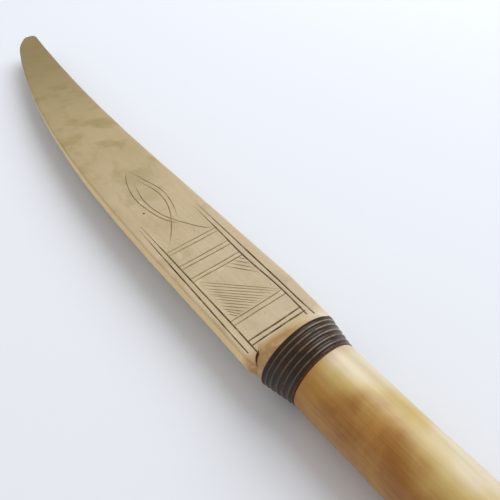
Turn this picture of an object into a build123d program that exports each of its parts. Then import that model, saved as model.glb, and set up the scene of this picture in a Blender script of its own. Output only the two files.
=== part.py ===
from build123d import *
from math import cos, radians, sin, tan
import os

# A bone paper knife, 250 mm long. While it is being built it lies along X: x = 0 is the joint between
# the blade's neck and the collar, the blade points to +X, the handle to -X, and z = 0 is the handle's
# axis. The working edge is on +Y and the spine on -Y. At the end everything moves together, so that the
# origin is the middle of the overall size in X and Y and z = 0 is the lowest point.

# Driving dimensions, mm

# Blade, seen from above
BLADE_LENGTH = 150.5           # from the neck joint to the tip
EDGE_OUT = 8.1                 # handle axis to the straight part of the working edge
SPINE_OUT = 9.4                # handle axis to the straight part of the spine
BELLY_START = 46.0             # where the working edge begins to curve in
SPINE_BOW_START = 60.0         # where the spine begins to bow
TIP_RADIUS = 2.1
TIP_DROP = 12.6                # the middle of the round tip, on the spine's side of the handle axis
NOSE_LENGTH = 9.5              # from the tip back to where the working edge turns in to it
NOSE_DROP = 6.1                # the working edge there, on the spine's side of the handle axis
BELLY_END_ANGLE = 18.0         # and its slope there, degrees
EDGE_END_ANGLE = 42.0          # the working edge's slope where it meets the round tip, degrees
SPINE_END_ANGLE = 6.5          # the spine's slope where it meets the round tip, degrees

# Blade's heel
HEEL_GAP = 0.3                 # neck joint to the back of the flat blade
EDGE_CORNER_AT = 1.6           # where the round heel corner on the working edge is sharpest
EDGE_CORNER_START = 4.4        # where it begins
EDGE_CORNER_DROP = 2.7         # how far it comes in by the back of the flat blade
SPINE_NARROW_START = 12.0      # where the spine begins to narrow to the heel
SPINE_NARROWING = 0.9          # and by how much

# Blade's thickness
BLADE_THICK = 2.7
TIP_THICK = 1.5
TAPER_START = 64.0             # the upper face slopes down from here to the tip
EDGE_ROUND = 0.6

# Neck: the blade's oval shoulder in front of the collar
NECK_HALF_WIDTH = 7.9
NECK_HALF_HEIGHT = 6.8
NECK_LENGTH = 3.4
RAMP_START = 4.3               # where the carved ramp leaves the blade's flat face
RAMP_DROP = 0.6                # how far the ramp's top lies under the neck's, at the collar
RAMP_EDGE_SIDE = 6.4           # the ramp's side towards the working edge
RAMP_SPINE_SIDE = 4.7          # the ramp's side towards the spine

# Tang and its bore
TANG_ROOT_RADIUS = 2.9
TANG_END_RADIUS = 2.0
TANG_LENGTH = 40.0
BEDDING_GAP = 0.3              # between the tang's root and the bore
BEDDING_BEYOND = 3.0           # straight bore beyond the tang's end
DRILL_POINT_LENGTH = 1.8
DRILL_POINT_END = 0.01         # the drill point's radius where it ends

# Collar
COVE_WIDTHS = (0.83, 0.93, 1.10, 1.05, 1.05, 0.94)
COVE_DEPTH = 0.22
COVE_STATIONS = (0, 0.2, 0.5, 0.8, 1)    # shares of a cove's width where its hollow is laid out
COLLAR_PROUD = 0.12            # how far the crests stand proud of the neck and of the handle

# Handle
HANDLE_LENGTH = 93.6
HANDLE_FRONT_RADIUS = 6.45
HANDLE_FRONT_ROUND = 0.25
WAIST_AT = 16.0                # from the handle's front
WAIST_RADIUS = 6.2
SWELL_AT = 64.0                # from the handle's front
SWELL_RADIUS = 6.9
BUTT_DOME_LENGTH = 6.0
BUTT_RADIUS = 6.1

# Engraving in the blade's upper face
SCORE_WIDTH = 0.24
SCORE_DEPTH = 0.12
SCORE_HEEL = 3.6               # where the long lines end at the heel
SCORE_TOP = 41.0               # and towards the tip
EDGE_LINE_INSETS = (1.1, 2.6)  # the two long lines beside the working edge, measured from it
SPINE_LINE_INSETS = (2.5, 3.6)
CROSS_LINE_PAIRS = (5.3, 10.4, 22.8, 26.7, 31.4)
CROSS_PAIR_GAP = 0.95
HATCH_PITCH = 1.0
HATCH_LINES = 10
CORNER_HATCH_LINES = 4
# The double almond: each curve is its tip end, its widest point and its other end
ALMOND_CURVES = (
    ((60.3, -1.1), (49.9, 2.4), (37.0, -1.3)),
    ((56.0, -0.6), (46.5, 1.1), (32.4, -5.2)),
    ((56.0, -1.0), (46.5, -2.6), (32.4, 4.9)),
    ((60.3, -1.2), (49.5, -3.8), (39.3, -1.7)),
)

# Worked out from those

SPINE_HEEL_OUT = SPINE_OUT - SPINE_NARROWING
RAMP_TOP = NECK_HALF_HEIGHT - RAMP_DROP
BORE_RADIUS = TANG_ROOT_RADIUS + BEDDING_GAP
BORE_DEPTH = TANG_LENGTH + BEDDING_BEYOND
LONG_LINES = [EDGE_OUT - inset for inset in EDGE_LINE_INSETS]
LONG_LINES += [inset - SPINE_OUT for inset in SPINE_LINE_INSETS]
CROSS_TO = EDGE_OUT - EDGE_LINE_INSETS[-1]
CROSS_FROM = SPINE_LINE_INSETS[-1] - SPINE_OUT
COLLAR_LENGTH = sum(COVE_WIDTHS)
HANDLE_FRONT = -COLLAR_LENGTH
HALF_THICK = BLADE_THICK / 2
REACH = 2 * (BLADE_LENGTH + HANDLE_LENGTH)      # longer than the whole tool
STEP_PAST = 1.0                                 # how far a cutter runs past what it cuts

os.makedirs("parts", exist_ok=True)


def ellipse_at(x, half_width, half_height):
    """An upright oval face across the handle axis."""
    across = Plane(origin=(x, 0, 0), x_dir=(0, 1, 0), z_dir=(1, 0, 0))
    return across * Ellipse(half_width, half_height)


def rod(x_from, x_to, radius_from, radius_to):
    """A round, straight or tapered rod along the handle axis."""
    outline = Polyline((x_from, 0), (x_from, radius_from), (x_to, radius_to), (x_to, 0), close=True)
    return revolve(Plane.XZ * make_face(outline), Axis.X)


# Blade

def blade_outline():
    tip_x = BLADE_LENGTH - TIP_RADIUS
    edge_slope = radians(EDGE_END_ANGLE)
    spine_slope = radians(SPINE_END_ANGLE)
    edge_end = (tip_x + TIP_RADIUS * sin(edge_slope), -TIP_DROP + TIP_RADIUS * cos(edge_slope))
    spine_end = (tip_x - TIP_RADIUS * sin(spine_slope), -TIP_DROP - TIP_RADIUS * cos(spine_slope))
    middle_angle = -(spine_slope + edge_slope) / 2
    tip_end = (tip_x + TIP_RADIUS * cos(middle_angle), -TIP_DROP + TIP_RADIUS * sin(middle_angle))
    # Each long curve leaves its straight part smoothly and meets the tip at its own slope
    nose = (BLADE_LENGTH - NOSE_LENGTH, -NOSE_DROP)
    nose_slope = radians(BELLY_END_ANGLE)
    edge_control = (nose[0] - (EDGE_OUT - nose[1]) / tan(nose_slope), EDGE_OUT)
    # The two slopes cross between the nose and the round tip
    drop_left = nose[1] - edge_end[1] - tan(edge_slope) * (edge_end[0] - nose[0])
    nose_reach = drop_left / (tan(nose_slope) - tan(edge_slope))
    nose_control = (nose[0] + nose_reach, nose[1] - nose_reach * tan(nose_slope))
    spine_control = (spine_end[0] + (spine_end[1] + SPINE_OUT) / tan(spine_slope), -SPINE_OUT)
    back_edge = (HEEL_GAP, EDGE_OUT - EDGE_CORNER_DROP)
    back_spine = (HEEL_GAP, -SPINE_HEEL_OUT)
    belly = (BELLY_START, EDGE_OUT)
    bow = (SPINE_BOW_START, -SPINE_OUT)
    narrowing = (SPINE_NARROW_START, -SPINE_OUT)
    corner = (EDGE_CORNER_START, EDGE_OUT)
    lines = [
        Bezier(back_edge, (EDGE_CORNER_AT, EDGE_OUT), corner),
        Line(corner, belly),
        Bezier(belly, edge_control, nose),
        Bezier(nose, nose_control, edge_end),
        ThreePointArc(edge_end, tip_end, spine_end),
        Bezier(spine_end, spine_control, bow),
        Line(bow, narrowing),
        Line(narrowing, back_spine),
        Line(back_spine, back_edge),
    ]
    return make_face(lines)


def flat_blade():
    slab = Pos(0, 0, -HALF_THICK) * extrude(blade_outline(), BLADE_THICK)
    side_view = Polyline(
        (-STEP_PAST, -HALF_THICK),
        (BLADE_LENGTH, -HALF_THICK),
        (BLADE_LENGTH, TIP_THICK - HALF_THICK),
        (TAPER_START, HALF_THICK),
        (-STEP_PAST, HALF_THICK),
        close=True,
    )
    wedge = extrude(Plane.XZ * make_face(side_view), REACH / 2, both=True)
    blade = slab & wedge
    rims = []
    for edge in blade.edges():
        middle = edge @ 0.5
        upright = abs((edge % 0.5).Z) > 0.5
        crease = abs(middle.X - TAPER_START) < 0.1 and abs((edge % 0.5).Y) > 0.9
        if middle.X > HEEL_GAP + 0.1 and not upright and not crease:
            rims.append(edge)
    return fillet(rims, EDGE_ROUND)


def ramp_cutter(side):
    """Takes the neck's shoulder down to a ramp, on the upper (side = 1) or lower (-1) face."""
    rise = (RAMP_TOP - HALF_THICK) / RAMP_START
    ramp = Polyline(
        (RAMP_START, side * HALF_THICK),
        (-STEP_PAST, side * (RAMP_TOP + rise * STEP_PAST)),
        (-STEP_PAST, side * REACH),
        (RAMP_START, side * REACH),
        close=True,
    )
    width = RAMP_EDGE_SIDE + RAMP_SPINE_SIDE
    cutter = extrude(Plane.XZ * make_face(ramp), width / 2, both=True)
    return Pos(0, (RAMP_EDGE_SIDE - RAMP_SPINE_SIDE) / 2, 0) * cutter


def neck():
    egg = scale(Rot(0, 90, 0) * Sphere(1), by=(NECK_LENGTH, NECK_HALF_WIDTH, NECK_HALF_HEIGHT))
    front_half = Pos(REACH / 2, 0, 0) * Box(REACH, REACH, REACH)
    shoulder = egg & front_half
    for side in (1, -1):
        shoulder -= ramp_cutter(side)
    return shoulder


def tang():
    """The tapered tang. Its root starts inside the neck."""
    taper = (TANG_ROOT_RADIUS - TANG_END_RADIUS) / TANG_LENGTH
    inside = NECK_LENGTH / 2
    return rod(inside, -TANG_LENGTH, TANG_ROOT_RADIUS + taper * inside, TANG_END_RADIUS)


# Engraving

def score_profile():
    """The V of one engraved line, across its direction, with its top just over the blade's face."""
    flare = SCORE_WIDTH / 2 * (1 + STEP_PAST / SCORE_DEPTH)
    return Polyline((0, -SCORE_DEPTH), (flare, STEP_PAST), (-flare, STEP_PAST), close=True)


def score(path):
    start = path @ 0
    along = path % 0
    across = Plane(origin=start, x_dir=(along.Y, -along.X, 0), z_dir=along)
    up_is_y = across.y_dir.Z > 0
    v_face = make_face(score_profile())
    if not up_is_y:
        v_face = Rot(0, 0, 180) * v_face
    return sweep(across * v_face, path=path)


def on_face(point):
    return Vector(point[0], point[1], HALF_THICK)


def engraving_paths():
    paths = []
    for y in LONG_LINES:
        paths.append(Line(on_face((SCORE_HEEL, y)), on_face((SCORE_TOP, y))))
    for x in CROSS_LINE_PAIRS:
        for shift in (-CROSS_PAIR_GAP / 2, CROSS_PAIR_GAP / 2):
            paths.append(Line(on_face((x + shift, CROSS_FROM)), on_face((x + shift, CROSS_TO))))
    # Hatching at 45 degrees in the panel between the second and the third pair
    low = CROSS_LINE_PAIRS[1] + CROSS_PAIR_GAP
    high = CROSS_LINE_PAIRS[2] - CROSS_PAIR_GAP
    for n in range(HATCH_LINES):
        run = min(CROSS_TO - CROSS_FROM, high - low) - n * HATCH_PITCH
        paths.append(Line(on_face((low, CROSS_TO - run)), on_face((low + run, CROSS_TO))))
    for n in range(CORNER_HATCH_LINES):
        run = (n + 1) * HATCH_PITCH
        paths.append(Line(on_face((high - run, CROSS_FROM)), on_face((high, CROSS_FROM + run))))
    for tip, widest, end in ALMOND_CURVES:
        paths.append(ThreePointArc(on_face(tip), on_face(widest), on_face(end)))
    return paths


blade = neck() + tang()
blade += flat_blade()
for path in engraving_paths():
    blade -= score(path)

# Collar: one cove after another, each a shallow hollow turned round the oval between two crests

NECK_PROUD = (NECK_HALF_WIDTH + COLLAR_PROUD, NECK_HALF_HEIGHT + COLLAR_PROUD)
HANDLE_PROUD = HANDLE_FRONT_RADIUS + COLLAR_PROUD


def collar_section(x, sunk):
    """The collar's oval at x, between the neck's and the handle's, sunk below the crests."""
    back = -x / COLLAR_LENGTH
    half_width = NECK_PROUD[0] + (HANDLE_PROUD - NECK_PROUD[0]) * back - sunk
    half_height = NECK_PROUD[1] + (HANDLE_PROUD - NECK_PROUD[1]) * back - sunk
    return ellipse_at(x, half_width, half_height)


def cove(x_front, width):
    sections = []
    for share in COVE_STATIONS:
        hollow = 1 - (2 * share - 1) ** 2
        sections.append(collar_section(x_front - share * width, COVE_DEPTH * hollow))
    return loft(sections)


coves = []
cove_front = 0.0
for cove_width in COVE_WIDTHS:
    coves.append(cove(cove_front, cove_width))
    cove_front -= cove_width
collar = coves[0]
for next_cove in coves[1:]:
    collar += next_cove

# The bore runs through the collar into the handle and ends in a drill point

bore = rod(0, -BORE_DEPTH, BORE_RADIUS, BORE_RADIUS)
bore += rod(-BORE_DEPTH, -BORE_DEPTH - DRILL_POINT_LENGTH, BORE_RADIUS, DRILL_POINT_END)
collar -= bore

# Handle

def handle_body():
    butt = HANDLE_FRONT - HANDLE_LENGTH
    front = (HANDLE_FRONT, HANDLE_FRONT_RADIUS)
    waist = (HANDLE_FRONT - WAIST_AT, WAIST_RADIUS)
    swell = (HANDLE_FRONT - SWELL_AT, SWELL_RADIUS)
    dome = (butt + BUTT_DOME_LENGTH, BUTT_RADIUS)
    dome_slope = (-1, -0.12)
    side = Spline(front, waist, swell, dome, tangents=[(-1, -0.03), dome_slope])
    end = Spline(dome, (butt, 0), tangents=[dome_slope, (0, -1)])
    outline = make_face([side, end, Line((butt, 0), (HANDLE_FRONT, 0)), Line((HANDLE_FRONT, 0), front)])
    body = revolve(Plane.XZ * outline, Axis.X)
    front_rim = body.edges().filter_by(GeomType.CIRCLE).sort_by(Axis.X)[-1]
    return fillet(front_rim, HANDLE_FRONT_ROUND)


handle = handle_body() - bore

# Resin: fills the bore round the tang and beyond its end

tang_bedding = bore - tang()

# The whole tool, moved to its own origin

pieces = {"blade": blade, "collar": collar, "handle": handle, "tang_bedding": tang_bedding}
size = Compound(children=[Compound(piece.solids()) for piece in pieces.values()]).bounding_box()
home = Pos(-size.center().X, -size.center().Y, -size.min.Z)
for name, piece in pieces.items():
    export_step(home * Compound(piece.solids()), f"parts/{name}.step")
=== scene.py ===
import math

import bpy
from mathutils import Matrix, Vector


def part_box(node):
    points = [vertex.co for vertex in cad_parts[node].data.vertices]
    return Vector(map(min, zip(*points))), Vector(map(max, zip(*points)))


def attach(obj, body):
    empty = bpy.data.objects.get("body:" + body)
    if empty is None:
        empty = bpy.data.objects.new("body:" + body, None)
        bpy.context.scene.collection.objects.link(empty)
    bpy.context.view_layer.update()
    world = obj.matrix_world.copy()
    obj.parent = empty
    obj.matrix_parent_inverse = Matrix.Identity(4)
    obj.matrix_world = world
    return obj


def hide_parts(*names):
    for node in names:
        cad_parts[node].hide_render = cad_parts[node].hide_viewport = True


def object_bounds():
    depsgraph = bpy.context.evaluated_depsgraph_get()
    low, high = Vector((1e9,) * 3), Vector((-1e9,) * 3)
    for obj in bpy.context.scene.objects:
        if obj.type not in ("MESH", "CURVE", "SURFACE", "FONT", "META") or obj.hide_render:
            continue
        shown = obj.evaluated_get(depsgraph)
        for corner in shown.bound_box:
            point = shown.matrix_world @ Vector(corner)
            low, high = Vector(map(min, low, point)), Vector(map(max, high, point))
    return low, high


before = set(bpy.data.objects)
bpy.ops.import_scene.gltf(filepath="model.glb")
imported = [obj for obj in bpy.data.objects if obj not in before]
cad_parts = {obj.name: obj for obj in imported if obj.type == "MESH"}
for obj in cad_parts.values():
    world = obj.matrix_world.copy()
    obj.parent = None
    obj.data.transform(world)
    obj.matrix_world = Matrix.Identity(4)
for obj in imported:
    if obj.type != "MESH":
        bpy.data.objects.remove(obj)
cad_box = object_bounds()

MM = 0.001

# Where the maker measures from: the neck joint on the handle axis, x towards the tip, y towards the
# working edge, z out of the engraved face, all in millimetres
_, collar_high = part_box("collar")
handle_low, handle_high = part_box("handle")
NECK_JOINT = Vector((collar_high.x, (handle_low.y + handle_high.y) / 2, (handle_low.z + handle_high.z) / 2))
BLADE_TIP = (cad_box[1][0] - NECK_JOINT.x) / MM
BUTT = (cad_box[0][0] - NECK_JOINT.x) / MM


def at(x, y, z):
    return NECK_JOINT + Vector((x, y, z)) * MM


# Bench work that every piece needs

def deselect_all():
    bpy.ops.object.select_all(action="DESELECT")


def pick_up(piece):
    deselect_all()
    piece.select_set(True)
    bpy.context.view_layer.objects.active = piece


def open_piece(piece):
    pick_up(piece)
    bpy.ops.object.mode_set(mode="EDIT")


def close_piece():
    bpy.ops.mesh.select_all(action="SELECT")
    bpy.ops.mesh.normals_make_consistent(inside=False)
    bpy.ops.object.mode_set(mode="OBJECT")


def name_new_piece(name):
    piece = bpy.context.object
    piece.name = name
    piece.data.name = name
    bpy.ops.object.transform_apply(location=True, rotation=True, scale=True)
    return piece


def skin(name, rings):
    """A closed skin over rings of points, each with as many points, and a face over each end."""
    sides = len(rings[0])
    points = [point for ring in rings for point in ring]
    faces = [tuple(range(sides)), tuple(range((len(rings) - 1) * sides, len(rings) * sides))]
    for n in range(len(rings) - 1):
        for m in range(sides):
            low = n * sides
            after = (m + 1) % sides
            faces.append((low + m, low + after, low + sides + after, low + sides + m))
    mesh = bpy.data.meshes.new(name)
    mesh.from_pydata(points, [], faces)
    piece = bpy.data.objects.new(name, mesh)
    bpy.context.scene.collection.objects.link(piece)
    open_piece(piece)
    close_piece()
    return piece


def oval(x, half_width, half_height, sides):
    turns = [2 * math.pi * n / sides for n in range(sides)]
    return [at(x, half_width * math.cos(turn), half_height * math.sin(turn)) for turn in turns]


def cut_or_join(piece, tool, operation, keep_tool_finish=False):
    pick_up(piece)
    bpy.ops.object.modifier_add(type="BOOLEAN")
    change = piece.modifiers[-1]
    change.operation = operation
    change.solver = "EXACT"
    change.object = tool
    if keep_tool_finish:
        change.material_mode = "TRANSFER"
    bpy.ops.object.modifier_apply(modifier=change.name)
    bpy.data.objects.remove(tool)


def uneven(piece, size, depth):
    """Small soft hollows and swells left by handwork."""
    pick_up(piece)
    hollows = bpy.data.textures.new(piece.name + "_hollows", "CLOUDS")
    hollows.noise_scale = size * MM
    hollows.noise_depth = 2
    bpy.ops.object.modifier_add(type="DISPLACE")
    change = piece.modifiers[-1]
    change.texture = hollows
    change.texture_coords = "LOCAL"
    change.strength = depth * MM
    change.mid_level = 0.5
    bpy.ops.object.modifier_apply(modifier=change.name)


def smooth(piece, crease_angle):
    pick_up(piece)
    bpy.ops.object.shade_smooth_by_angle(angle=math.radians(crease_angle))


def waver(reach, hand):
    """The small drift of a line cut by hand, between about -1 and 1."""
    return 0.6 * math.sin(1.1 * reach + 2.3 * hand) + 0.4 * math.sin(2.7 * reach + 5.1 * hand)


def settle(piece, cad_node, finish):
    piece.data.materials.clear()
    piece.data.materials.append(finish)
    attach(piece, "root")
    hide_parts(cad_node)


# Finishes

def node(tree, kind, values=None, feeds=None, **settings):
    made = tree.nodes.new("ShaderNode" + kind)
    for name, value in settings.items():
        setattr(made, name, value)
    for name, value in (values or {}).items():
        made.inputs[name].default_value = value
    for name, socket in (feeds or {}).items():
        tree.links.new(socket, made.inputs[name])
    return made


def blend(tree, share, first, second):
    """One colour over another by a share."""
    made = tree.nodes.new("ShaderNodeMix")
    made.data_type = "RGBA"
    for place, thing in ((0, share), (6, first), (7, second)):
        if isinstance(thing, bpy.types.NodeSocket):
            tree.links.new(thing, made.inputs[place])
        elif isinstance(thing, tuple):
            made.inputs[place].default_value = (*thing, 1)
        else:
            made.inputs[place].default_value = thing
    return made.outputs[2]


def ramp(tree, value, low, high, to_low=0.0, to_high=1.0, smooth_ends=True):
    made = node(
        tree, "MapRange", {"From Min": low, "From Max": high, "To Min": to_low, "To Max": to_high},
        {"Value": value}, interpolation_type="SMOOTHSTEP" if smooth_ends else "LINEAR",
    )
    return made.outputs["Result"]


def combine(tree, operation, first, second):
    made = node(tree, "Math", operation=operation)
    for place, thing in ((0, first), (1, second)):
        if isinstance(thing, bpy.types.NodeSocket):
            tree.links.new(thing, made.inputs[place])
        else:
            made.inputs[place].default_value = thing
    return made.outputs[0]


def new_group(name, inputs, outputs):
    group = bpy.data.node_groups.new(name, "ShaderNodeTree")
    for label, kind, value in inputs:
        socket = group.interface.new_socket(label, in_out="INPUT", socket_type=kind)
        if value is not None:
            socket.default_value = value
    for label, kind in outputs:
        group.interface.new_socket(label, in_out="OUTPUT", socket_type=kind)
    return group, group.nodes.new("NodeGroupInput"), group.nodes.new("NodeGroupOutput")


def make_blotch_group():
    """Soft uneven patches of stain."""
    group, given, result = new_group(
        "blotches",
        [("Place", "NodeSocketVector", None), ("Size in mm", "NodeSocketFloat", 8.0),
         ("Coverage", "NodeSocketFloat", 0.5), ("Softness", "NodeSocketFloat", 0.15)],
        [("Mask", "NodeSocketFloat")],
    )
    scale = combine(group, "DIVIDE", 1000.0, given.outputs["Size in mm"])
    noise = node(group, "TexNoise", {"Detail": 5.0, "Roughness": 0.6, "Distortion": 0.6},
                 {"Vector": given.outputs["Place"], "Scale": scale})
    middle = combine(group, "SUBTRACT", 1.0, given.outputs["Coverage"])
    low = combine(group, "SUBTRACT", middle, given.outputs["Softness"])
    high = combine(group, "ADD", middle, given.outputs["Softness"])
    made = node(group, "MapRange", None, {"Value": noise.outputs["Fac"], "From Min": low, "From Max": high},
                interpolation_type="SMOOTHSTEP")
    group.links.new(made.outputs["Result"], result.inputs["Mask"])
    return group


def make_streak_group():
    """Long fibres running along the tool."""
    group, given, result = new_group(
        "bone_fibres",
        [("Place", "NodeSocketVector", None), ("Width in mm", "NodeSocketFloat", 0.6),
         ("Stretch", "NodeSocketFloat", 12.0)],
        [("Mask", "NodeSocketFloat"), ("Height", "NodeSocketFloat")],
    )
    inverse = combine(group, "DIVIDE", 1.0, given.outputs["Stretch"])
    squeeze = node(group, "CombineXYZ", {"Y": 1.0, "Z": 1.0}, {"X": inverse})
    place = node(group, "VectorMath", None, None, operation="MULTIPLY")
    group.links.new(given.outputs["Place"], place.inputs[0])
    group.links.new(squeeze.outputs["Vector"], place.inputs[1])
    scale = combine(group, "DIVIDE", 1000.0, given.outputs["Width in mm"])
    noise = node(group, "TexNoise", {"Detail": 4.0, "Roughness": 0.55, "Distortion": 0.3},
                 {"Vector": place.outputs["Vector"], "Scale": scale})
    made = ramp(group, noise.outputs["Fac"], 0.35, 0.7)
    group.links.new(made, result.inputs["Mask"])
    group.links.new(noise.outputs["Fac"], result.inputs["Height"])
    return group


def make_pore_group():
    """Small round pits and specks."""
    group, given, result = new_group(
        "pores",
        [("Place", "NodeSocketVector", None), ("Spacing in mm", "NodeSocketFloat", 2.0),
         ("Radius", "NodeSocketFloat", 0.12)],
        [("Mask", "NodeSocketFloat")],
    )
    scale = combine(group, "DIVIDE", 1000.0, given.outputs["Spacing in mm"])
    cells = node(group, "TexVoronoi", {"Randomness": 1.0}, {"Vector": given.outputs["Place"], "Scale": scale})
    made = node(group, "MapRange", {"From Min": 0.0, "To Min": 1.0, "To Max": 0.0},
                {"Value": cells.outputs["Distance"], "From Max": given.outputs["Radius"]},
                interpolation_type="SMOOTHSTEP")
    group.links.new(made.outputs["Result"], result.inputs["Mask"])
    return group


def make_wear_group():
    """Ridges and corners rubbed bare."""
    group, given, result = new_group(
        "edge_wear",
        [("Place", "NodeSocketVector", None), ("Sharpness from", "NodeSocketFloat", 0.5),
         ("Sharpness to", "NodeSocketFloat", 0.58)],
        [("Mask", "NodeSocketFloat")],
    )
    shape = node(group, "NewGeometry")
    noise = node(group, "TexNoise", {"Scale": 700.0, "Detail": 3.0}, {"Vector": given.outputs["Place"]})
    drift = ramp(group, noise.outputs["Fac"], 0.3, 0.7, -0.03, 0.03, False)
    sharpness = combine(group, "ADD", shape.outputs["Pointiness"], drift)
    made = node(group, "MapRange", None,
                {"Value": sharpness, "From Min": given.outputs["Sharpness from"],
                 "From Max": given.outputs["Sharpness to"]}, interpolation_type="SMOOTHSTEP")
    group.links.new(made.outputs["Result"], result.inputs["Mask"])
    return group


BLOTCHES = make_blotch_group()
FIBRES = make_streak_group()
PORES = make_pore_group()
WEAR = make_wear_group()


def effect(tree, group, place, **values):
    made = tree.nodes.new("ShaderNodeGroup")
    made.node_tree = group
    tree.links.new(place, made.inputs["Place"])
    for name, value in values.items():
        made.inputs[name.replace("_", " ")].default_value = value
    return made


def blotches(tree, place, size, coverage, softness):
    made = effect(tree, BLOTCHES, place, Size_in_mm=size, Coverage=coverage, Softness=softness)
    return made.outputs["Mask"]


def pits(tree, place, spacing, radius):
    return effect(tree, PORES, place, Spacing_in_mm=spacing, Radius=radius).outputs["Mask"]


def times(tree, first, second):
    return combine(tree, "MULTIPLY", first, second)


def tint(tree, color, mask, strength, over):
    """Lays a colour over another where the mask is, at part of its strength."""
    return blend(tree, times(tree, mask, strength), color, over)


def start_finish(name):
    material = bpy.data.materials.new(name)
    material.use_nodes = True
    tree = material.node_tree
    place = node(tree, "TexCoord").outputs["Object"]
    return material, tree, tree.nodes["Principled BSDF"], place


def split_axes(tree, place):
    return node(tree, "SeparateXYZ", None, {"Vector": place}).outputs


def along_tool(tree, parts, start, end, to_low=0.0, to_high=1.0):
    """A share that changes from one distance in front of the neck joint to another."""
    return ramp(tree, parts["X"], at(start, 0, 0).x, at(end, 0, 0).x, to_low, to_high)


def across_tool(tree, parts, start, end, to_low=0.0, to_high=1.0):
    """A share that changes from one distance towards the working edge to another."""
    return ramp(tree, parts["Y"], at(0, start, 0).y, at(0, end, 0).y, to_low, to_high)


def let_light_in(shader, weight, radius, scale):
    shader.inputs["Subsurface Weight"].default_value = weight
    shader.inputs["Subsurface Radius"].default_value = radius
    shader.inputs["Subsurface Scale"].default_value = scale


def finish_surface(tree, shader, color, roughness, height, strength, distance):
    """Feeds the shader's colour and roughness, and raises the fine relief."""
    tree.links.new(color, shader.inputs["Base Color"])
    tree.links.new(roughness, shader.inputs["Roughness"])
    bump = node(tree, "Bump", {"Strength": strength, "Distance": distance}, {"Height": height})
    tree.links.new(bump.outputs["Normal"], shader.inputs["Normal"])


TAN_BONE = (0.49, 0.385, 0.235)
PALE_BONE = (0.56, 0.445, 0.29)
OLIVE_STAIN = (0.29, 0.225, 0.085)
BROWN_FLECK = (0.36, 0.26, 0.13)
BROWN_FIBRE = (0.33, 0.23, 0.11)
HANDLED_BONE = (0.32, 0.24, 0.082)
DARK_TIP = (0.20, 0.14, 0.036)
# Painted bounce light on the blade's side walls
BOUNCE_LIT_SIDE_YELLOW = (0.90, 0.68, 0.31)
OLD_GLUE = (0.36, 0.20, 0.06)
# Painted highlight for the spine side of the shoulder
PAINTED_CRESCENT_HIGHLIGHT = (0.70, 0.62, 0.48)
PORE_DIRT = (0.15, 0.09, 0.04)
RUBBED_EDGE = (0.72, 0.60, 0.38)
DEEP_DIRT = (0.04, 0.022, 0.009)
FAINT_DIRT = (0.13, 0.08, 0.03)
# Near-black fill for the shoulder outline, where it is painted shadow, and for the heel notch
NOTCH_DIRT_AND_SHADOW = (0.05, 0.025, 0.009)
DIRT_FROM = 0.01
DIRT_FULL = 0.12


def bone_ground(tree, place, parts):
    """Tan bone with pale clouds, olive stains, flecks and fibres, browner towards the tip."""
    clouds = blotches(tree, place, 16.0, 0.5, 0.2)
    color = blend(tree, clouds, TAN_BONE, PALE_BONE)
    olive = blotches(tree, place, 7.0, 0.44, 0.1)
    color = tint(tree, color, olive, along_tool(tree, parts, 35, 85, 0.25, 0.8), OLIVE_STAIN)
    color = tint(tree, color, blotches(tree, place, 2.6, 0.38, 0.08), 0.16, BROWN_FLECK)
    fibres = effect(tree, FIBRES, place, Width_in_mm=0.7, Stretch=14.0)
    color = tint(tree, color, fibres.outputs["Mask"], 0.14, BROWN_FIBRE)
    color = blend(tree, along_tool(tree, parts, 25, 80, 0.0, 0.5), color, HANDLED_BONE)
    color = blend(tree, along_tool(tree, parts, 75, 140, 0.0, 0.85), color, DARK_TIP)
    return color, clouds, fibres.outputs["Height"]


def paint_bounce_on_sides(tree, parts, color):
    """Painted bounce light: the side walls get a bright yellow that stands in for light thrown up from the
    floor and shining through the thin edges.
    """
    facing = node(tree, "SeparateXYZ", None, {"Vector": node(tree, "NewGeometry").outputs["Normal"]})
    upright = combine(tree, "ABSOLUTE", facing.outputs["Z"], 0.0)
    side = ramp(tree, upright, 0.9, 0.35)
    return tint(tree, color, side, along_tool(tree, parts, 60, 140, 0.75, 0.2), BOUNCE_LIT_SIDE_YELLOW)


def stained_and_highlit_ramp(tree, place, parts, color):
    """Old glue and polish on the ramp's working side; at its spine side a painted highlight, pale where the
    window light catches the shoulder.
    """
    near_collar = along_tool(tree, parts, 5.0, 2.2)
    patchy = ramp(tree, blotches(tree, place, 3.0, 0.58, 0.18), 0.0, 1.0, 0.4, 0.95)
    stain = times(tree, near_collar, patchy)
    color = tint(tree, color, stain, across_tool(tree, parts, -3.5, 1.0), OLD_GLUE)
    # Painted highlight: a pale crescent on the spine side of the shoulder, where the window light catches it
    crescent = times(tree, near_collar, across_tool(tree, parts, -2.5, -6.0))
    return tint(tree, color, crescent, 0.6, PAINTED_CRESCENT_HIGHLIGHT)


def dark_filled_scores(tree, place, parts, color, dark_fill_color, share_above):
    """Dirt that lies in the cuts, and thinner or as thick above the face; in the shoulder outline the same
    near-black fill is painted shadow.
    """
    top = at(0, 0, HALF_THICK).z
    depth = ramp(tree, parts["Z"], top - DIRT_FROM * MM, top - DIRT_FULL * MM, share_above, 1.0)
    patchy = ramp(tree, blotches(tree, place, 2.2, 0.55, 0.25), 0.0, 1.0, 0.45, 1.0)
    return tint(tree, color, depth, patchy, dark_fill_color)


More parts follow.
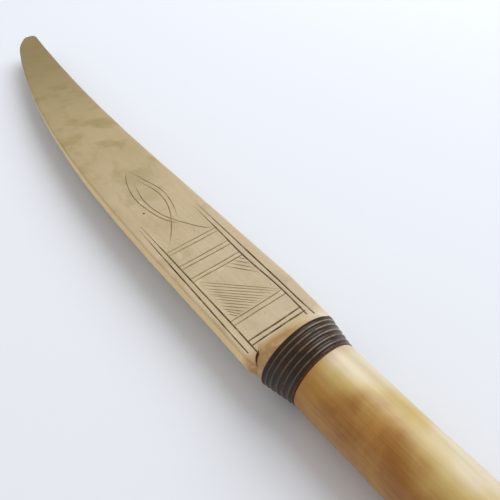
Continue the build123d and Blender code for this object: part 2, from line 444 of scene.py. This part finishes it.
def blade_finish(name, dark_fill_color=None, share_above=0.15):
    """Dry matt bone with pores and rubbed edges, painted bounce light on its sides and a painted highlight on
    its shoulder; the finishes for the scores hold grime, and the near-black one paints the shadow line at the
    shoulder.
    """
    material, tree, shader, place = start_finish(name)
    parts = split_axes(tree, place)
    color, clouds, fibre_height = bone_ground(tree, place, parts)
    color = paint_bounce_on_sides(tree, parts, color)
    color = stained_and_highlit_ramp(tree, place, parts, color)
    pores = pits(tree, place, 2.4, 0.1)
    color = tint(tree, color, pores, 0.55, PORE_DIRT)
    worn = effect(tree, WEAR, place, Sharpness_from=0.53, Sharpness_to=0.62)
    color = tint(tree, color, worn.outputs["Mask"], 0.3, RUBBED_EDGE)
    if dark_fill_color:
        color = dark_filled_scores(tree, place, parts, color, dark_fill_color, share_above)
    grain = node(tree, "TexNoise", {"Scale": 900.0, "Detail": 4.0, "Roughness": 0.6}, {"Vector": place})
    height = combine(tree, "ADD", times(tree, grain.outputs["Fac"], 0.5), fibre_height)
    height = combine(tree, "SUBTRACT", height, times(tree, pores, 0.8))
    finish_surface(tree, shader, color, ramp(tree, clouds, 0.0, 1.0, 0.42, 0.56), height, 0.35, 0.00008)
    let_light_in(shader, 0.12, (1.0, 0.55, 0.25), 0.0015)
    return material


BLACK_HORN = (0.016, 0.006, 0.003)
BROWN_HORN = (0.04, 0.017, 0.009)
RED_HORN = (0.11, 0.02, 0.01)
# Pale crests, partly worn horn and partly painted highlight
WORN_AND_LIT_HORN = (0.40, 0.30, 0.16)
THIN_HORN = (0.15, 0.04, 0.018)


def crest_lines(tree, parts):
    """A mask of the crests between the coves."""
    crest = None
    front = 0.0
    for width in COVE_WIDTHS[:-1]:
        front -= width
        distance = combine(tree, "ABSOLUTE", combine(tree, "SUBTRACT", parts["X"], at(front, 0, 0).x), 0.0)
        line = ramp(tree, distance, 0.19 * MM, 0.05 * MM)
        crest = line if crest is None else combine(tree, "MAXIMUM", crest, line)
    return crest


def horn_finish():
    """Dark polished horn, red where it is thin; the crests are pale, partly rubbed and partly a painted
    highlight that is stronger on the spine side, towards the window.
    """
    material, tree, shader, place = start_finish("collar_horn")
    parts = split_axes(tree, place)
    color = blend(tree, blotches(tree, place, 4.0, 0.45, 0.2), BLACK_HORN, BROWN_HORN)
    color = tint(tree, color, blotches(tree, place, 2.2, 0.34, 0.08), 0.4, RED_HORN)
    # The crests are pale in places: partly worn horn and partly painted highlight, made stronger on the spine
    # side where the window light falls
    patchy = ramp(tree, blotches(tree, place, 2.6, 0.6, 0.25), 0.0, 1.0, 0.12, 0.7)
    rubbed = times(tree, patchy, across_tool(tree, parts, 7, -5, 0.3, 1.0))
    color = tint(tree, color, crest_lines(tree, parts), rubbed, WORN_AND_LIT_HORN)
    color = tint(tree, color, along_tool(tree, parts, -5.45, -5.75), 0.7, THIN_HORN)
    roughness = ramp(tree, blotches(tree, place, 1.2, 0.5, 0.2), 0.0, 1.0, 0.22, 0.38)
    fibres = effect(tree, FIBRES, place, Width_in_mm=0.25, Stretch=0.25)
    finish_surface(tree, shader, color, roughness, fibres.outputs["Height"], 0.3, 0.00005)
    shader.inputs["Specular IOR Level"].default_value = 0.35
    return material


# Handle colours from the spine side to the working side, partly painted light and shade
CREAM_AND_LIT_BONE = (0.66, 0.58, 0.41)
YELLOW_HALF_LIT_BONE = (0.56, 0.42, 0.145)
AMBER_AND_SHADED_BONE = (0.41, 0.195, 0.022)
BROWN_AMBER = (0.29, 0.105, 0.008)
AMBER_FIBRE = (0.30, 0.14, 0.03)
CREAM_FIBRE = (0.80, 0.68, 0.42)
DARK_HANDLE_FRONT = (0.36, 0.15, 0.03)
AMBER_PORE = (0.2, 0.09, 0.03)


def turn_round_handle(tree, place, parts):
    """Goes from low on the spine side, which faces the window, to high on the shaded working side, with a
    slow drift.
    """
    axis = at(0, 0, 0)
    per_radius = 1000.0 / 6.5
    lean = times(tree, combine(tree, "SUBTRACT", parts["Y"], axis.y), per_radius)
    rise = times(tree, combine(tree, "SUBTRACT", parts["Z"], axis.z), per_radius)
    turned = combine(tree, "SUBTRACT", times(tree, lean, 0.8), times(tree, rise, 0.5))
    drift = node(tree, "TexNoise", {"Detail": 3.0, "Roughness": 0.5, "Scale": 60.0}, {"Vector": place})
    return combine(tree, "ADD", turned, ramp(tree, drift.outputs["Fac"], 0.25, 0.75, -0.6, 0.6, False))


def handle_finish():
    """Polished bone with long brown fibres; amber on the working side and cream on the spine side, partly a
    real amber patina and partly painted light and shade.
    """
    material, tree, shader, place = start_finish("handle_bone")
    parts = split_axes(tree, place)
    turned = turn_round_handle(tree, place, parts)
    # Painted light and shade, mixed with real patina: paler cream where the window lights the spine side,
    # amber where the working side is in shade
    color = blend(tree, ramp(tree, turned, -0.85, -0.3), CREAM_AND_LIT_BONE, YELLOW_HALF_LIT_BONE)
    color = blend(tree, ramp(tree, turned, -0.45, 0.25), color, AMBER_AND_SHADED_BONE)
    brown = blotches(tree, place, 11.0, 0.46, 0.12)
    color = tint(tree, color, brown, ramp(tree, turned, -0.5, 0.4), BROWN_AMBER)
    fibres = effect(tree, FIBRES, place, Width_in_mm=1.3, Stretch=13.0)
    color = tint(tree, color, fibres.outputs["Mask"], 0.16, AMBER_FIBRE)
    fine = effect(tree, FIBRES, place, Width_in_mm=0.4, Stretch=22.0)
    color = tint(tree, color, fine.outputs["Mask"], 0.07, CREAM_FIBRE)
    # Darker towards the front of the handle, next to the collar
    color = tint(tree, color, along_tool(tree, parts, -8.5, -5.9), 0.35, DARK_HANDLE_FRONT)
    color = tint(tree, color, pits(tree, place, 3.1, 0.08), 0.4, AMBER_PORE)
    roughness = ramp(tree, fibres.outputs["Mask"], 0.0, 1.0, 0.3, 0.4)
    finish_surface(tree, shader, color, roughness, fibres.outputs["Height"], 0.25, 0.0001)
    let_light_in(shader, 0.25, (1.0, 0.45, 0.15), 0.0025)
    shader.inputs["Specular IOR Level"].default_value = 0.4
    shader.inputs["Coat Weight"].default_value = 0.1
    shader.inputs["Coat Roughness"].default_value = 0.25
    return material


DARK_RESIN = (0.10, 0.045, 0.02)
BROWN_RESIN = (0.19, 0.09, 0.04)
PAPER = (0.775, 0.805, 0.87)


def resin_finish():
    """Brown pitch-like cement with small bubbles."""
    material, tree, shader, place = start_finish("cutler_resin")
    patches = blotches(tree, place, 2.0, 0.5, 0.2)
    color = blend(tree, patches, DARK_RESIN, BROWN_RESIN)
    roughness = ramp(tree, patches, 0.0, 1.0, 0.35, 0.55)
    finish_surface(tree, shader, color, roughness, pits(tree, place, 1.1, 0.25), 0.4, 0.0002)
    return material


def paper_finish():
    material = bpy.data.materials.new("paper_floor")
    material.use_nodes = True
    shader = material.node_tree.nodes["Principled BSDF"]
    shader.inputs["Base Color"].default_value = (*PAPER, 1)
    shader.inputs["Roughness"].default_value = 0.95
    return material


# Blade

EDGE_OUT = 8.35
SPINE_OUT = 9.4
BELLY_START = 38.0
SPINE_BOW_START = 60.0
TIP_RADIUS = 2.1
TIP_DROP = 12.6
NOSE_LENGTH = 9.5
NOSE_DROP = 6.1
BELLY_END_ANGLE = math.radians(18.0)
EDGE_END_ANGLE = math.radians(42.0)
SPINE_END_ANGLE = math.radians(6.5)
HEEL = 0.3
HEEL_CORNER = ((HEEL, 6.2), (1.1, EDGE_OUT), (3.3, EDGE_OUT))
SPINE_NARROW_START = 12.0
SPINE_NARROWING = 0.9
HALF_THICK = 1.35
TIP_THICK = 1.5
TAPER_START = 64.0
EDGE_WOBBLE = 0.05
SPINE_WOBBLE = 0.04


def height_on_curve(curve, x):
    """The y of a three-point curve where it passes x."""
    low, high = 0.0, 1.0
    rising = curve[2][0] > curve[0][0]
    for _ in range(30):
        t = (low + high) / 2
        here = (1 - t) ** 2 * curve[0][0] + 2 * t * (1 - t) * curve[1][0] + t * t * curve[2][0]
        if (here < x) == rising:
            low = t
        else:
            high = t
    return (1 - t) ** 2 * curve[0][1] + 2 * t * (1 - t) * curve[1][1] + t * t * curve[2][1]


def tip_round(x):
    reach = x - (BLADE_TIP - TIP_RADIUS)
    return math.sqrt(max(TIP_RADIUS ** 2 - reach ** 2, 0.0))


def edge_line(x):
    """The working edge's distance from the axis."""
    tip_x = BLADE_TIP - TIP_RADIUS
    end = (tip_x + TIP_RADIUS * math.sin(EDGE_END_ANGLE), -TIP_DROP + TIP_RADIUS * math.cos(EDGE_END_ANGLE))
    nose = (BLADE_TIP - NOSE_LENGTH, -NOSE_DROP)
    belly_pull = (nose[0] - (EDGE_OUT - nose[1]) / math.tan(BELLY_END_ANGLE), EDGE_OUT)
    drop_left = nose[1] - end[1] - math.tan(EDGE_END_ANGLE) * (end[0] - nose[0])
    reach = drop_left / (math.tan(BELLY_END_ANGLE) - math.tan(EDGE_END_ANGLE))
    nose_pull = (nose[0] + reach, nose[1] - reach * math.tan(BELLY_END_ANGLE))
    if x < HEEL_CORNER[2][0]:
        return height_on_curve(HEEL_CORNER, x)
    if x < BELLY_START:
        return EDGE_OUT
    if x < nose[0]:
        return height_on_curve(((BELLY_START, EDGE_OUT), belly_pull, nose), x)
    if x < end[0]:
        return height_on_curve((nose, nose_pull, end), x)
    return tip_round(x) - TIP_DROP


def spine_line(x):
    tip_x = BLADE_TIP - TIP_RADIUS
    end = (tip_x - TIP_RADIUS * math.sin(SPINE_END_ANGLE), -TIP_DROP - TIP_RADIUS * math.cos(SPINE_END_ANGLE))
    pull = (end[0] + (end[1] + SPINE_OUT) / math.tan(SPINE_END_ANGLE), -SPINE_OUT)
    if x < SPINE_NARROW_START:
        return -SPINE_OUT + SPINE_NARROWING * (1 - (x - HEEL) / (SPINE_NARROW_START - HEEL))
    if x < SPINE_BOW_START:
        return -SPINE_OUT
    if x < end[0]:
        return height_on_curve(((SPINE_BOW_START, -SPINE_OUT), pull, end), x)
    return -TIP_DROP - tip_round(x)


def face_height(x):
    """The engraved face's height over the axis, which drops as the blade thins to the tip."""
    if x < TAPER_START:
        return HALF_THICK
    share = (x - TAPER_START) / (BLADE_TIP - TAPER_START)
    return HALF_THICK - share * (2 * HALF_THICK - TIP_THICK)


def plate_station(x, thinning=1.0):
    """Where the plate's section lies at x: its middle y and z, half width and half height."""
    wobble = EDGE_WOBBLE * waver(x / 6, 1)
    edge = edge_line(x) + (wobble if x > HEEL_CORNER[2][0] else 0)
    spine = spine_line(x) + SPINE_WOBBLE * waver(x / 7, 2)
    top = face_height(x)
    half_high = (top + HALF_THICK) / 2
    return (x, (edge + spine) / 2, top - half_high, (edge - spine) / 2, half_high * thinning)


HEEL_PLACES = (HEEL, 0.5, 0.8, 1.1, 1.5, 2.0, 2.6, 3.3, 4.4)
PLATE_STEP = 1.4
TIP_PARTS = 12
TIP_FULL_PARTS = 6
TIP_THINNING = 6.2
TOP_EDGE_ROUND = 0.75
UNDER_EDGE_ROUND = 0.3
ROUND_PARTS = 6
FACE_PARTS = 13


def plate_section():
    """The plate's section as shares of its half width and half height, with round corners."""
    half_width = (EDGE_OUT + SPINE_OUT) / 2
    points = []
    for y_side, z_side, first_turn in ((1, 1, 0), (-1, 1, 90), (-1, -1, 180), (1, -1, 270)):
        radius = TOP_EDGE_ROUND if z_side > 0 else UNDER_EDGE_ROUND
        middle_y = y_side * (half_width - radius)
        middle_z = z_side * (HALF_THICK - radius)
        corner = []
        for n in range(ROUND_PARTS + 1):
            turn = math.radians(first_turn + 90 * n / ROUND_PARTS)
            corner.append((middle_y + radius * math.cos(turn), middle_z + radius * math.sin(turn)))
        points += corner
        if first_turn in (0, 180):
            far_y = -y_side * (half_width - radius)
            for n in range(1, FACE_PARTS):
                points.append((middle_y + (far_y - middle_y) * n / FACE_PARTS, z_side * HALF_THICK))
    return [(y / half_width, z / HALF_THICK) for y, z in points]


def make_plate():
    tip_x = BLADE_TIP - TIP_RADIUS
    first = HEEL_PLACES[-1]
    count = round((tip_x - first) / PLATE_STEP)
    stations = [plate_station(x) for x in HEEL_PLACES]
    stations += [plate_station(first + (tip_x - first) * n / count) for n in range(1, count + 1)]
    for n in range(1, TIP_PARTS):
        turn = math.pi / 2 * n / TIP_PARTS
        past_full = max(n - TIP_FULL_PARTS, 0)
        thinning = math.sqrt(1 - (past_full / TIP_THINNING) ** 2)
        stations.append(plate_station(tip_x + TIP_RADIUS * math.sin(turn), thinning))
    section = plate_section()
    rings = []
    for x, y, z, half_width, half_height in stations:
        ring = [at(x, y + wide * half_width, z + high * half_height) for wide, high in section]
        rings.append(ring)
    return skin("carved_blade", rings)


# x, half width and half height of the domed shoulder in front of the collar
NECK_SECTIONS = (
    (0.0, 7.9, 6.8), (0.6, 7.95, 6.6), (1.2, 7.9, 6.2), (1.8, 7.7, 5.6), (2.4, 7.2, 4.8), (2.9, 6.5, 3.9),
    (3.3, 6.5, 3.3), (3.7, 6.5, 2.8), (4.0, 6.5, 2.5), (4.3, 6.5, 2.2), (4.6, 6.5, 2.0),
)
RAMP_FOOT = 4.5
RAMP_TOP = 6.2
NECK_SIDES = 72


def make_neck():
    piece = skin("blade_neck", [oval(x, wide, high, NECK_SIDES) for x, wide, high in NECK_SECTIONS])
    open_piece(piece)
    rise = RAMP_TOP - HALF_THICK
    for side in (1, -1):
        bpy.ops.mesh.select_all(action="SELECT")
        bpy.ops.mesh.bisect(
            plane_co=at(RAMP_FOOT, 0, side * HALF_THICK), plane_no=(rise, 0, side * RAMP_FOOT),
            use_fill=True, clear_outer=True,
        )
    close_piece()
    return piece


TANG_LENGTH = 40.0
TANG_START = 1.7
TANG_ROOT_RADIUS = 2.94
TANG_END_RADIUS = 2.0


def make_tang():
    deselect_all()
    bpy.ops.mesh.primitive_cone_add(
        vertices=40, radius1=TANG_END_RADIUS * MM, radius2=TANG_ROOT_RADIUS * MM,
        depth=(TANG_LENGTH + TANG_START) * MM,
        location=at((TANG_START - TANG_LENGTH) / 2, 0, 0), rotation=(0, math.pi / 2, 0),
    )
    return name_new_piece("tang")


# Engraving: every line is a V cut by a square-sectioned bar laid on its edge

def scoring_bar(points, width, fade_first=0.35, fade_last=0.35):
    """A bar along the points of (x, y), which sinks half its width into the face and thins at its ends."""
    line = bpy.data.curves.new("scoring_bar", "CURVE")
    line.dimensions = "3D"
    line.twist_mode = "Z_UP"
    line.bevel_depth = width / 2 * MM
    line.bevel_resolution = 0
    line.use_fill_caps = True
    line.resolution_u = 6
    spline = line.splines.new("BEZIER")
    spline.bezier_points.add(len(points) - 1)
    for place, (x, y) in zip(spline.bezier_points, points):
        place.co = at(x, y, HALF_THICK)
        place.handle_left_type = "AUTO"
        place.handle_right_type = "AUTO"
    spline.bezier_points[0].radius = fade_first
    spline.bezier_points[-1].radius = fade_last
    bar = bpy.data.objects.new("scoring_bar", line)
    bpy.context.scene.collection.objects.link(bar)
    return bar


def join_bars(bars):
    deselect_all()
    for bar in bars:
        bar.select_set(True)
    bpy.context.view_layer.objects.active = bars[0]
    bpy.ops.object.convert(target="MESH")
    if len(bars) > 1:
        bpy.ops.object.join()
    return bpy.context.object


def ruled(start, end, hand, stray=0.06, parts=6):
    """Points of a line cut along a rule, with the small strays of the hand."""
    points = []
    for n in range(parts + 1):
        t = n / parts
        off = stray * waver(5 * t, hand)
        points.append((start[0] + (end[0] - start[0]) * t + off, start[1] + (end[1] - start[1]) * t + off))
    return points


def score(blade, lines, width, finish, **fades):
    tool = join_bars([scoring_bar(points, width, **fades) for points in lines])
    tool.data.materials.clear()
    tool.data.materials.append(finish)
    cut_or_join(blade, tool, "DIFFERENCE", keep_tool_finish=True)


LONG_LINES = (
    ((41.6, 5.75), (31.5, 5.75), (21.0, 5.8), (10.4, 5.85), (4.7, 5.95), (2.6, 6.0)),
    ((40.6, 6.5), (30.5, 6.75), (19.2, 6.95), (8.7, 7.2), (4.2, 7.25)),
    ((40.3, -6.3), (31.0, -6.0), (22.2, -5.6), (11.2, -5.8), (6.1, -5.6), (3.4, -5.4)),
    ((40.2, -7.2), (29.2, -7.05), (20.7, -6.9), (12.3, -6.75), (7.0, -6.6), (2.8, -6.6)),
)
LONG_WIDTH = 0.38
CROSS_PAIRS = ((31.8, 30.8), (27.2, 26.2), (23.3, 22.35), (10.9, 9.85), (5.9, 4.9))
CROSS_REACH = 5.8
CROSS_LEAN = 0.1
CROSS_WIDTH = 0.28
HEEL_CROSS_WIDTH = 0.4
HATCH_WIDTH = 0.21
# The small hatched triangle above the first cross pair, and the strokes on its other side
STROKES = (
    ((34.7, -2.9), (32.3, -0.9)), ((33.9, -3.2), (32.3, -2.1)), ((33.4, -3.9), (32.4, -3.1)),
    ((33.9, 2.3), (33.1, 0.3)), ((33.1, 3.2), (32.7, 0.9)), ((43.8, 0.3), (43.0, -1.2)),
)
STROKE_WIDTH = 0.22
ALMOND_OUTER = (
    ((60.5, -1.1), (58.4, 0.1), (55.4, 1.3), (49.9, 2.3), (45.5, 2.0), (41.3, 1.1), (39.5, 0.3),
     (37.6, -0.9)),
    ((60.0, -1.4), (54.6, -2.7), (49.5, -3.8), (44.3, -3.3), (39.3, -1.7)),
)
ALMOND_LEFT = (
    (56.0, -0.5), (50.3, 0.9), (47.5, 1.1), (43.5, 0.7), (40.4, -0.2), (36.6, -2.2), (33.2, -4.4),
    (32.2, -5.6),
)
ALMOND_RIGHT = (
    (56.0, -1.2), (50.2, -2.6), (47.0, -2.7), (42.9, -1.8), (39.0, 0.1), (35.2, 2.6), (32.5, 4.8),
)
ALMOND_WIDTH = 0.26
SHOULDER_OUTLINE = ((3.35, -4.2), (3.3, -5.2), (2.75, -6.4), (1.95, -7.4), (1.1, -8.1), (0.5, -8.5))
OUTLINE_WIDTH = 0.6
HEEL_NOTCH = ((3.6, 5.5), (2.9, 6.3), (2.1, 7.0), (1.2, 7.5))
NOTCH_WIDTH = 0.7
DOT_PLACE = (44.8, 3.2, 1.4)
DOT_RADIUS = 0.26


def cross_line(x, hand):
    return ruled((x, -CROSS_REACH), (x + CROSS_LEAN, CROSS_REACH), hand, 0.05)


def hatch_lines():
    """Slanting lines that fill the middle panel, and the few short ones in its far corner."""
    lines = []
    for n in range(12):
        start = (21.7 - 0.84 * n + 0.12 * waver(n, 1), 5.0 + 0.25 * waver(n, 2))
        end = (11.2 + 0.15 * waver(n, 3), -5.6 + 0.88 * n + 0.15 * waver(n, 4))
        lines.append(ruled(start, end, n, 0.07))
    for n in range(4):
        start = (22.1, -4.6 + 1.15 * n)
        end = (21.0 - 1.4 * n, -5.3 + 0.1 * waver(n, 5))
        lines.append(ruled(start, end, n + 20, 0.05, 3))
    return lines


def drill_dot(blade, finish):
    deselect_all()
    bpy.ops.mesh.primitive_uv_sphere_add(
        segments=16, ring_count=10, radius=DOT_RADIUS * MM, location=at(*DOT_PLACE),
    )
    dot = name_new_piece("dot_drill")
    dot.data.materials.append(finish)
    cut_or_join(blade, dot, "DIFFERENCE", keep_tool_finish=True)


def engrave(blade, deep, shallow):
    score(blade, LONG_LINES, LONG_WIDTH, deep, fade_last=0.8)
    cross = [[cross_line(x, 3 * n + m) for m, x in enumerate(pair)] for n, pair in enumerate(CROSS_PAIRS)]
    score(blade, sum(cross[:-1], []), CROSS_WIDTH, shallow, fade_first=0.75, fade_last=0.75)
    score(blade, cross[-1], HEEL_CROSS_WIDTH, deep, fade_first=0.7, fade_last=0.8)
    score(blade, hatch_lines(), HATCH_WIDTH, shallow)
    score(blade, STROKES, STROKE_WIDTH, shallow)
    for lines in (ALMOND_OUTER, [ALMOND_LEFT], [ALMOND_RIGHT]):
        score(blade, lines, ALMOND_WIDTH, shallow)
    notch_and_shadow_fill = blade_finish("notch_dirt_and_shadow", NOTCH_DIRT_AND_SHADOW, 1.0)
    # The shoulder outline is cut wide and filled near black as painted shadow, for the shadow line where the
    # domed shoulder meets the face; the heel notch takes the same fill.
    score(blade, [SHOULDER_OUTLINE], OUTLINE_WIDTH, notch_and_shadow_fill, fade_last=0.8)
    score(blade, [HEEL_NOTCH], NOTCH_WIDTH, notch_and_shadow_fill, fade_last=0.8)
    drill_dot(blade, deep)


def make_blade():
    blade = make_plate()
    cut_or_join(blade, make_neck(), "UNION")
    cut_or_join(blade, make_tang(), "UNION")
    blade.data.materials.clear()
    blade.data.materials.append(blade_finish("blade_bone"))
    deep = blade_finish("dark_scores", DEEP_DIRT)
    shallow = blade_finish("pale_scores", FAINT_DIRT)
    engrave(blade, deep, shallow)
    uneven(blade, 10, 0.1)
    smooth(blade, 30)
    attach(blade, "root")
    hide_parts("blade")


# Collar

COVE_WIDTHS = (0.83, 0.93, 1.10, 1.05, 1.05, 0.94)
COVE_DEPTH = 0.24
CREST_FLAT = 0.07
COVE_PARTS = 8
RIM_DROP = 0.08
COLLAR_SIDES = 128
# Half width and half height in front, and the radius at the back
COLLAR_FRONT = (8.02, 6.92)
COLLAR_BACK = 6.57
BORE_RADIUS = 3.2
BORE_DEPTH = 43.0
DRILL_POINT = 1.8
DRILL_POINT_RADIUS = 0.02
BORE_SIDES = 64
COLLAR_LENGTH = sum(COVE_WIDTHS)


def collar_ring(x, sunk):
    back = -x / COLLAR_LENGTH
    wide = COLLAR_FRONT[0] + (COLLAR_BACK - COLLAR_FRONT[0]) * back
    high = COLLAR_FRONT[1] + (COLLAR_BACK - COLLAR_FRONT[1]) * back
    return oval(x, wide - sunk, high - sunk, COLLAR_SIDES)


def make_bore(name):
    places = ((1, BORE_RADIUS), (-BORE_DEPTH, BORE_RADIUS), (-BORE_DEPTH - DRILL_POINT, DRILL_POINT_RADIUS))
    return skin(name, [oval(x, radius, radius, BORE_SIDES) for x, radius in places])


def make_collar():
    rings = [collar_ring(0.0, RIM_DROP)]
    front = 0.0
    for width in COVE_WIDTHS:
        for n in range(COVE_PARTS + 1):
            share = n / COVE_PARTS
            x = front - CREST_FLAT - (width - 2 * CREST_FLAT) * share
            rings.append(collar_ring(x, COVE_DEPTH * (1 - (2 * share - 1) ** 2)))
        front -= width
    rings.append(collar_ring(front, RIM_DROP))
    piece = skin("turned_collar", rings)
    uneven(piece, 3, 0.05)
    cut_or_join(piece, make_bore("collar_bore"), "DIFFERENCE")
    smooth(piece, 40)
    settle(piece, "collar", horn_finish())


# Handle

HANDLE_FRONT_RADIUS = 6.45
# Distance from the handle's front, and radius
WAIST = (16.0, 6.2)
SWELL = (64.0, 6.9)
DOME_LENGTH = 6.0
DOME_RADIUS = 6.1
FRONT_ROUND = 0.25
FRONT_PARTS = 4
BODY_PARTS = 60
DOME_PARTS = 14
HANDLE_SIDES = 96
HANDLE_LENGTH = -BUTT - COLLAR_LENGTH
DOME_AT = HANDLE_LENGTH - DOME_LENGTH


def handle_radius(along):
    """The handle's radius at a distance from its front."""
    if along < WAIST[0]:
        t = (1 - math.cos(math.pi * along / WAIST[0])) / 2
        return HANDLE_FRONT_RADIUS + (WAIST[1] - HANDLE_FRONT_RADIUS) * t
    if along < SWELL[0]:
        t = (1 - math.cos(math.pi * (along - WAIST[0]) / (SWELL[0] - WAIST[0]))) / 2
        return WAIST[1] + (SWELL[1] - WAIST[1]) * t
    if along < DOME_AT:
        t = 1 - math.cos(math.pi / 2 * (along - SWELL[0]) / (DOME_AT - SWELL[0]))
        return SWELL[1] + (DOME_RADIUS - SWELL[1]) * t
    share = (along - DOME_AT) / DOME_LENGTH
    return DOME_RADIUS * math.sqrt(max(1 - share ** 2, 0.0))


def make_handle():
    stations = []
    for n in range(FRONT_PARTS + 1):
        turn = math.pi / 2 * n / FRONT_PARTS
        along = FRONT_ROUND * (1 - math.cos(turn))
        radius = handle_radius(along) - FRONT_ROUND * (1 - math.sin(turn))
        stations.append((along, radius))
    for n in range(1, BODY_PARTS + 1):
        along = FRONT_ROUND + (DOME_AT - FRONT_ROUND) * n / BODY_PARTS
        stations.append((along, handle_radius(along)))
    for n in range(1, DOME_PARTS):
        along = DOME_AT + DOME_LENGTH * math.sin(math.pi / 2 * n / DOME_PARTS)
        stations.append((along, handle_radius(along)))
    rings = [oval(-COLLAR_LENGTH - along, radius, radius, HANDLE_SIDES) for along, radius in stations]
    piece = skin("bone_handle", rings)
    uneven(piece, 22, 0.18)
    cut_or_join(piece, make_bore("handle_bore"), "DIFFERENCE")
    smooth(piece, 40)
    settle(piece, "handle", handle_finish())


# Stage

CAMERA_FROM = (-32.36, 34.38, 72.07)
LOOKING = (0.5542, -0.4238, -0.7165)
CAMERA_RIGHT = (-0.6203, -0.7842, -0.016)
LENS = 36.6
SENSOR = 36.0
FLOOR_SIZE = 3
ROOM_COLOR = (1.0, 0.955, 0.91)
ROOM_STRENGTH = 0.62
WINDOW_PLACE = (0.14, -0.50, 0.60)
WINDOW_AIM = (0.03, 0, 0)
WINDOW_SIZE = 0.75
WINDOW_POWER = 4.9
WINDOW_COLOR = (0.90, 0.955, 1.0)


def set_camera():
    data = bpy.data.cameras.new("camera")
    data.sensor_width = SENSOR
    data.lens = LENS
    data.clip_start = 0.005
    data.clip_end = 10
    camera = bpy.data.objects.new("camera", data)
    bpy.context.scene.collection.objects.link(camera)
    back = -Vector(LOOKING).normalized()
    up = back.cross(Vector(CAMERA_RIGHT)).normalized()
    right = up.cross(back)
    turned = Matrix((right, up, back)).transposed().to_4x4()
    camera.matrix_world = Matrix.Translation(at(*CAMERA_FROM)) @ turned
    bpy.context.scene.camera = camera


def set_floor():
    deselect_all()
    bpy.ops.mesh.primitive_plane_add(size=FLOOR_SIZE, location=(0, 0, 0))
    floor = bpy.context.object
    floor.name = "floor"
    floor.data.materials.append(paper_finish())


def set_window():
    data = bpy.data.lights.new("window", "AREA")
    data.shape = "DISK"
    data.size = WINDOW_SIZE
    data.energy = WINDOW_POWER
    data.color = WINDOW_COLOR
    light = bpy.data.objects.new("window", data)
    bpy.context.scene.collection.objects.link(light)
    light.location = WINDOW_PLACE
    aim = Vector(WINDOW_AIM) - Vector(WINDOW_PLACE)
    light.rotation_euler = aim.to_track_quat("-Z", "Y").to_euler()


def set_room():
    bpy.context.scene.view_settings.view_transform = "Standard"
    world = bpy.data.worlds.new("room")
    bpy.context.scene.world = world
    world.use_nodes = True
    light = world.node_tree.nodes["Background"]
    light.inputs["Color"].default_value = (*ROOM_COLOR, 1)
    light.inputs["Strength"].default_value = ROOM_STRENGTH


set_camera()
make_blade()
make_collar()
make_handle()
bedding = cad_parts["tang_bedding"]
bedding.data.materials.clear()
bedding.data.materials.append(resin_finish())
set_floor()
set_room()
set_window()
